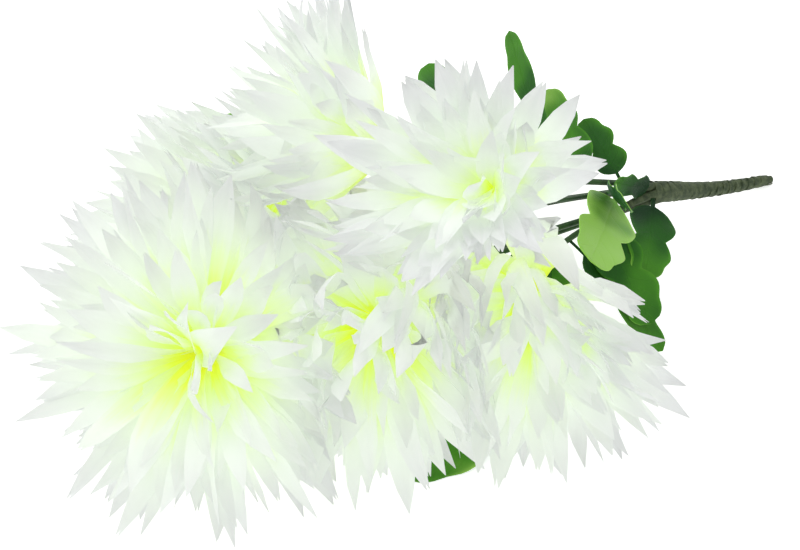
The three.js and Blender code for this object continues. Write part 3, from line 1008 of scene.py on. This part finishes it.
for name in heads:
    foliage = joined("leaves_" + name, [layLeaf(*leaf) for leaf in leaves if leaf[0] == name])
    smoothed(foliage, 70)
    finished(foliage, leafPrintAndShade, "foliage", "stem_" + name)
bpy.data.objects.remove(leafFlat)
print("leaves made")

# the taped grip: a rod, one long strip of tape wound round it, and thin tape on the start of each stem

tape = {
    "turns": 18,
    "sides": 24,
    "collar": 0.11,  # how far the strip goes on over the stems, next to the grip's length
    "collarFlare": 30,  # the higher, the sooner it fits them
    "collarRoom": 0.0003,
    "overlap": 1.3,  # width of the strip next to the rise of one turn
    "lift": 0.00022,  # how far the strip's laid-over edge stands off
    "thickness": 0.00025,
    "start": -0.004,  # where the strip starts, next to the grip's length
    "puckers": 0.00028,
    "rodSides": 24,
    "rodRings": 30,
    "rodSink": 0.0004,  # how far the rod's skin lies under the strip
    "rodEnds": ((0.18, 0.006), (0.35, 0.002), (0.1, -0.008)),  # each inset, and how far it moves out
    "sleeve": 0.03,  # length of the tape on each stem
    "sleeveRings": 9,
    "sleeveWide": (1.3, -0.18),  # next to the stem, and how much that changes towards its end
    "sleeveBumps": 0.06,
}
gripLength = np.linalg.norm(gripTop - gripEnd)
gripSide = unit(np.cross((0, 0, 1), gripWay))
gripDown = unit(np.cross(gripSide, gripWay))


def shareOfStem(name, length):
    # how far along a stem's curve this length brings one: it sets off at three times its handle's reach
    return length / (3 * bunch["stemReach"] * np.linalg.norm(headPlace(name)[0] - gripTop))


def roundStems(s, angle):
    # how far out the stems reach, past the grip's top
    reaches = []
    for name in heads:
        aside = stemPoint(name, shareOfStem(name, (s - 1) * gripLength)) - gripTop
        reaches.append((aside @ gripSide)[:, None] * np.cos(angle)
                       + (aside @ gripDown)[:, None] * np.sin(angle))
    return np.max(reaches, axis=0) + stalk["radius"] + tape["collarRoom"]


def onGrip(s, angle, outwards):
    s, angle, outwards = (np.asarray(values, float)[:, None] for values in (s, angle, outwards))
    inside = np.clip(s, 0, 1)
    radii = bunch["gripRadii"]
    radius = np.interp(inside[:, 0], np.linspace(0, 1, len(radii)), radii)[:, None] * mm
    past = np.clip((s - 1) * tape["collarFlare"], 0, 1)
    radius = radius * (1 - past) + past * roundStems(np.maximum(s, 1), angle) + outwards
    middle = gripEnd + gripWay * gripLength * s
    middle = middle + gripDown * bunch["gripBow"] * mm * np.sin(math.pi * inside)
    return middle + (gripSide * np.cos(angle) + gripDown * np.sin(angle)) * radius


def ringedCylinder(rings, ends):
    # 1 high, with radius 1, and cut into rings; it is left in edit mode
    bpy.ops.mesh.primitive_cylinder_add(vertices=tape["rodSides"], radius=1, depth=1,
                                        end_fill_type=ends, calc_uvs=True)
    made = bpy.context.object
    bpy.ops.object.mode_set(mode="EDIT")
    bpy.ops.mesh.select_all(action="DESELECT")
    bpy.ops.mesh.select_mode(type="EDGE")
    mesh = bmesh.from_edit_mesh(made.data)
    for edge in mesh.edges:
        edge.select = abs(edge.verts[0].co.z - edge.verts[1].co.z) > 0.5
    mesh.select_flush_mode()
    bmesh.update_edit_mesh(made.data)
    bpy.ops.mesh.subdivide(number_cuts=rings - 1)
    bpy.ops.mesh.select_all(action="DESELECT")
    return made


def rod():
    made = ringedCylinder(tape["rodRings"], "NGON")
    bpy.ops.mesh.select_mode(type="FACE")
    for end in (-1, 1):  # a rounded shoulder and a dished middle at each end
        mesh = bmesh.from_edit_mesh(made.data)
        for face in mesh.faces:
            face.select = face.normal.z * end > 0.9
        bmesh.update_edit_mesh(made.data)
        for inset, out in tape["rodEnds"]:
            bpy.ops.mesh.inset(thickness=inset)
            bpy.ops.transform.translate(value=(0, 0, out * end))
    bpy.ops.mesh.select_mode(type="VERT")
    bpy.ops.object.mode_set(mode="OBJECT")
    places = coordinatesOf(made)
    s = places[:, 2] + 0.5
    spread = np.hypot(places[:, 0], places[:, 1])
    zeros = np.zeros(len(s))
    rim = onGrip(s, np.arctan2(places[:, 1], places[:, 0]), zeros - tape["rodSink"])
    middle = (onGrip(s, zeros, zeros) + onGrip(s, zeros + math.pi, zeros)) / 2
    moveTo(made, middle + (rim - middle) * spread[:, None])
    made.select_set(False)
    return made


def strip():
    turns, sides = tape["turns"], tape["sides"]
    rise, last = 1 / turns, 1 + tape["collar"]
    made = grid(3, turns * sides, size=1)
    thickness = 0.25  # of the grid, before it is laid
    applied(made, "SOLIDIFY", thickness=thickness, offset=0)
    places = coordinatesOf(made)
    across, along, thick = places[:, 0] + 0.5, places[:, 1] + 0.5, places[:, 2]
    angle = along * turns * 2 * math.pi
    s = along * (last - rise * 1.1) + across * rise * tape["overlap"] + tape["start"]
    puckers = tape["puckers"] * np.sin(angle * 1.37 + 0.6) * np.sin(angle * 2.31 + across * 3)
    outwards = across * tape["lift"] + thick / thickness * tape["thickness"] + puckers
    moveTo(made, onGrip(np.clip(s, 0, last), angle, outwards))
    made.select_set(False)
    return made


def sleeve(name):
    # tape that runs on along a stem, thinning out
    made = ringedCylinder(tape["sleeveRings"], "NOTHING")
    bpy.ops.mesh.select_mode(type="VERT")
    bpy.ops.object.mode_set(mode="OBJECT")
    applied(made, "SOLIDIFY", thickness=0.1, offset=1)
    places = coordinatesOf(made)
    s = places[:, 2:] + 0.5
    spread = np.hypot(places[:, :1], places[:, 1:2])
    angle = np.arctan2(places[:, 1:2], places[:, :1])
    place = shareOfStem(name, s * tape["sleeve"])
    middle = stemPoint(name, place)
    ahead = unit(stemPoint(name, place + 0.01) - middle)
    aside = unit(np.cross(ahead, gripDown))
    phase = np.linalg.norm(headPlace(name)[0] - gripTop) * 900  # so that no two sleeves are alike
    bumps = 1 + tape["sleeveBumps"] * np.sin(s * 23 + angle + phase)
    radius = stalk["radius"] * (tape["sleeveWide"][0] + tape["sleeveWide"][1] * s) * spread * bumps
    moveTo(made, middle + (aside * np.cos(angle) + np.cross(ahead, aside) * np.sin(angle)) * radius)
    made.select_set(False)
    return made


grip = joined("tape_grip", [rod(), strip(), *(sleeve(name) for name in heads)])
smoothed(grip, 40)
finished(grip, gripPaper, "tape", "grip")
print("grip made")

# floor, light and camera

stage = {
    "floor": (0.95, 0.95, 0.95),
    "floorSize": 8,
    "floorGlow": 0.55,
    "sky": 0.70,
    "lights": {
        "key": {"at": (0.02, -0.04, 0.85), "power": 1.15, "size": 0.7},
        "fill": {"at": (-0.45, 0.5, 0.75), "power": 2.4, "size": 0.8},
    },
    "target": (-0.009, -0.018, 0.085),
    "elevation": 58,
    "distance": 1.1,
    "lens": 100,
    "clip": (0.01, 20),
}

bpy.ops.mesh.primitive_plane_add(size=stage["floorSize"])
floor = bpy.context.object
floor.name = "floor"
paper, paperTree = newMaterial("floor paper")
paperShader = node(paperTree, "ShaderNodeBsdfPrincipled",
                   {"Base Color": (*stage["floor"], 1), "Roughness": 0.9, "Specular IOR Level": 0.0,
                    "Emission Color": (1, 1, 1, 1), "Emission Strength": stage["floorGlow"]})
node(paperTree, "ShaderNodeOutputMaterial", {"Surface": paperShader.outputs[0]})
floor.data.materials.append(paper)

world = bpy.data.worlds.new("studio")
world.use_nodes = True
world.node_tree.nodes["Background"].inputs["Color"].default_value = (1, 1, 1, 1)
world.node_tree.nodes["Background"].inputs["Strength"].default_value = stage["sky"]
bpy.context.scene.world = world


def facing(thing, target):
    way = Vector(np.array(target) - np.array(thing.location))
    thing.rotation_euler = way.to_track_quat("-Z", "Y").to_euler()


for lightName, settings in stage["lights"].items():
    bpy.ops.object.light_add(type="AREA", location=settings["at"])
    lamp = bpy.context.object
    lamp.name = lightName + " light"
    lamp.data.energy = settings["power"]
    lamp.data.size = settings["size"]
    facing(lamp, stage["target"])

elevation = math.radians(stage["elevation"])
back = np.array((0, -math.cos(elevation), math.sin(elevation)))
bpy.ops.object.camera_add(location=np.array(stage["target"]) + back * stage["distance"])
camera = bpy.context.object
camera.data.lens = stage["lens"]
camera.data.sensor_width = 36
camera.data.clip_start, camera.data.clip_end = stage["clip"]
facing(camera, stage["target"])
bpy.context.scene.camera = camera
bpy.context.scene.view_settings.view_transform = "Standard"
